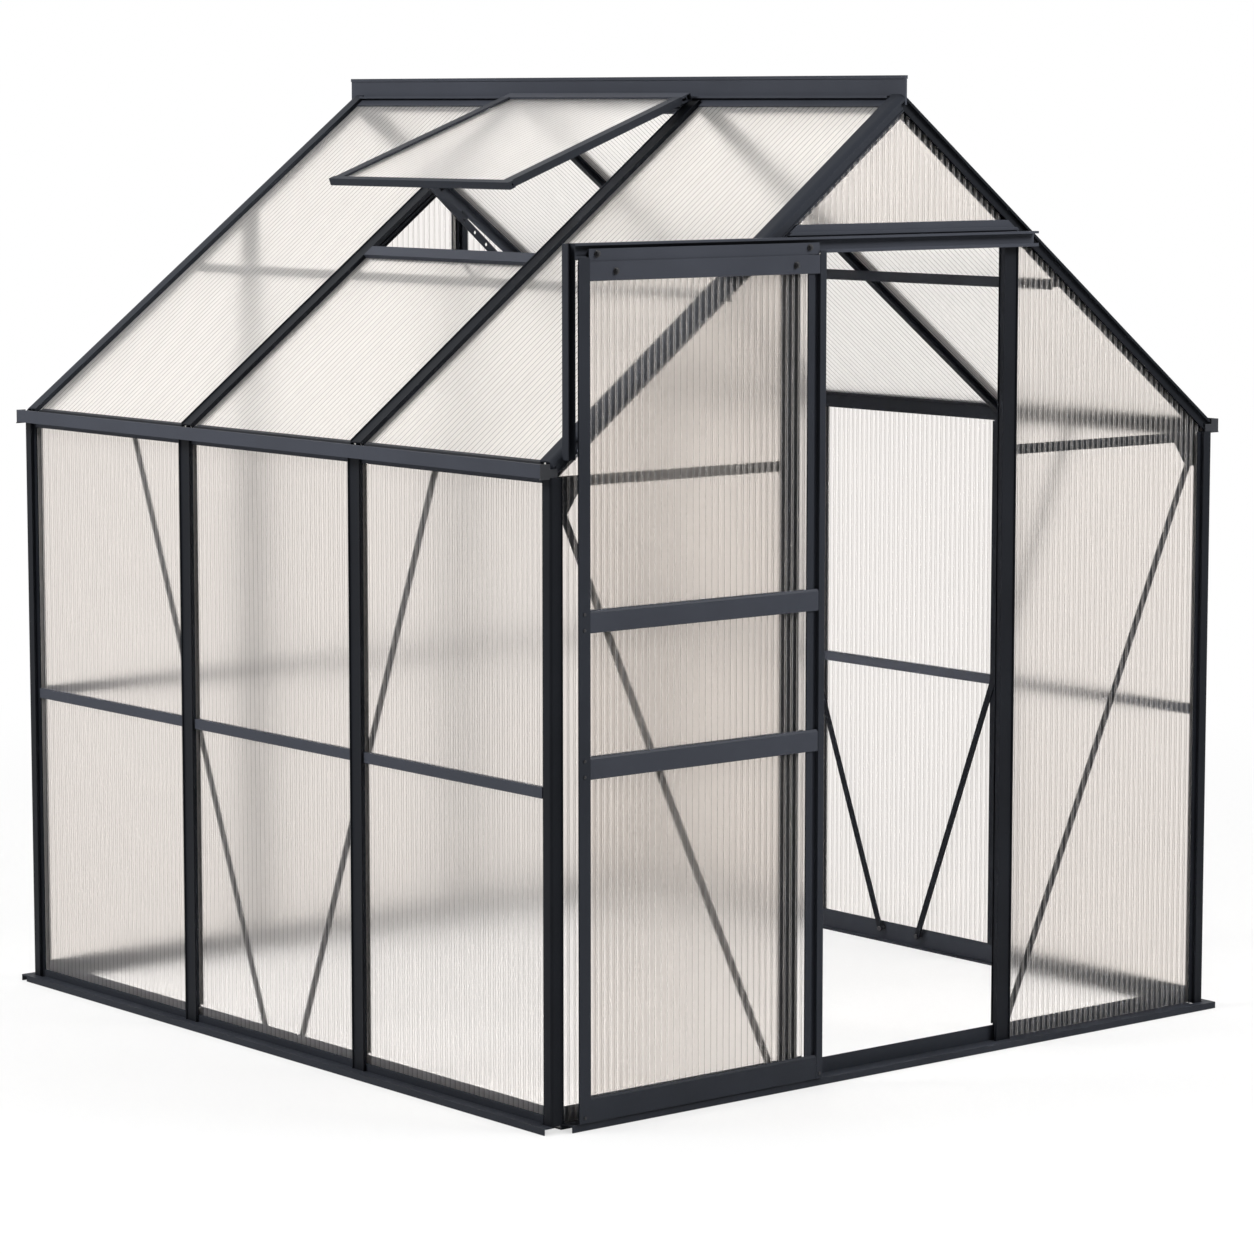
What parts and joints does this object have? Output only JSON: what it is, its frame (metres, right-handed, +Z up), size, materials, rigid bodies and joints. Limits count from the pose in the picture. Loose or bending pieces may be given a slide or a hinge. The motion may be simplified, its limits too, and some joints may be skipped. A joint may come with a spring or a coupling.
{
  "type": "greenhouse",
  "caption": "Small gabled garden greenhouse with a dark aluminium frame, translucent twin-wall sheets, a hung sliding door and a top-hinged roof vent on a stay.",
  "frame": {"origin": "middle of the base, on the ground, at the centre of the four anchor holes", "axes": "+Z up, -Y out of the door's gable, +X to the right as seen from in front of the door"},
  "size_m": [1.888, 1.9515, 2.045],
  "materials": {
    "frame_coat": "satin anthracite powder coat on extruded aluminium",
    "twin_wall_sheet": "clear to milky ribbed twin-wall polycarbonate",
    "brace_steel": "dark coated flat bar",
    "bolt_steel": "black coated",
    "cap_plastic": "moulded black",
    "glide_plastic": "smooth",
    "wheel_plastic": "smooth nylon"
  },
  "bodies": {
    "frame": {"sill_left": "frame_coat", "sill_right": "frame_coat", "sill_front": "frame_coat", "sill_back": "frame_coat", "post_front_left": "frame_coat", "post_front_right": "frame_coat", "post_back_left": "frame_coat", "post_back_right": "frame_coat", "studs_left": "frame_coat", "studs_right": "frame_coat", "studs_back": "frame_coat", "door_post_left": "frame_coat", "door_post_right": "frame_coat", "mid_rails": "frame_coat", "gable_tie": "frame_coat", "cross_bars": "frame_coat", "gusset_plates": "frame_coat", "wall_braces": "brace_steel", "brace_bolts": "bolt_steel", "gutter_left": "frame_coat", "gutter_right": "frame_coat", "end_caps": "cap_plastic", "eave_strips": "cap_plastic", "rafter_front_left": "frame_coat", "rafter_front_right": "frame_coat", "rafter_back_left": "frame_coat", "rafter_back_right": "frame_coat", "roof_bars_left": "frame_coat", "roof_bars_right": "frame_coat", "purlins": "frame_coat", "ridge_front": "frame_coat", "ridge_rear": "frame_coat", "vent_sill": "frame_coat", "stay_peg": "frame_coat", "sheets_left": "twin_wall_sheet", "sheets_right": "twin_wall_sheet", "sheets_back": "twin_wall_sheet", "sheets_front": "twin_wall_sheet", "sheets_roof_left": "twin_wall_sheet", "sheets_roof_right": "twin_wall_sheet", "door_track": "frame_coat", "track_strut": "frame_coat"},
    "door": {"door_stile_left": "frame_coat", "door_stile_right": "frame_coat", "door_top_rail": "frame_coat", "door_mid_rails": "frame_coat", "door_bottom_rail": "frame_coat", "door_hanger": "frame_coat", "door_sheets": "twin_wall_sheet", "door_bolts": "bolt_steel", "door_screws": "bolt_steel", "door_glides": "glide_plastic"},
    "door_wheel_left": {"door_wheel_left": "wheel_plastic"},
    "door_wheel_right": {"door_wheel_right": "wheel_plastic"},
    "vent": {"vent_hinge_bar": "frame_coat", "vent_stiles": "frame_coat", "vent_bottom_bar": "frame_coat", "vent_sheet": "twin_wall_sheet", "vent_bracket": "frame_coat"},
    "vent_stay": {"vent_stay": "frame_coat"}
  },
  "joints": [
    {"name": "door_slide", "type": "slide", "parent": "frame", "child": "door", "axis": [1, 0, 0], "range_m": [0, 0.55325]},
    {"name": "door_wheel_left_spin", "type": "hinge", "parent": "door", "child": "door_wheel_left", "pos_m": [-0.822, -0.96035, 1.70435], "axis": [0, 1, 0], "continuous": true},
    {"name": "door_wheel_right_spin", "type": "hinge", "parent": "door", "child": "door_wheel_right", "pos_m": [-0.278, -0.96035, 1.70435], "axis": [0, 1, 0], "continuous": true},
    {"name": "vent_hinge", "type": "hinge", "parent": "frame", "child": "vent", "pos_m": [-0.0102, 0, 1.99779], "axis": [0, 1, 0], "range_deg": [-17, 8]},
    {"name": "vent_stay_pivot", "type": "hinge", "parent": "vent", "child": "vent_stay", "pos_m": [-0.48821, 0, 1.81471], "axis": [0, 1, 0], "range_deg": [-8, 17]}
  ],
  "couplings": [
    {"joint": "door_wheel_left_spin", "follows": "door_slide", "rad_per_m": 113.64},
    {"joint": "door_wheel_right_spin", "follows": "door_slide", "rad_per_m": 113.64},
    {"joint": "vent_stay_pivot", "follows": "vent_hinge", "ratio": -1}
  ]
}
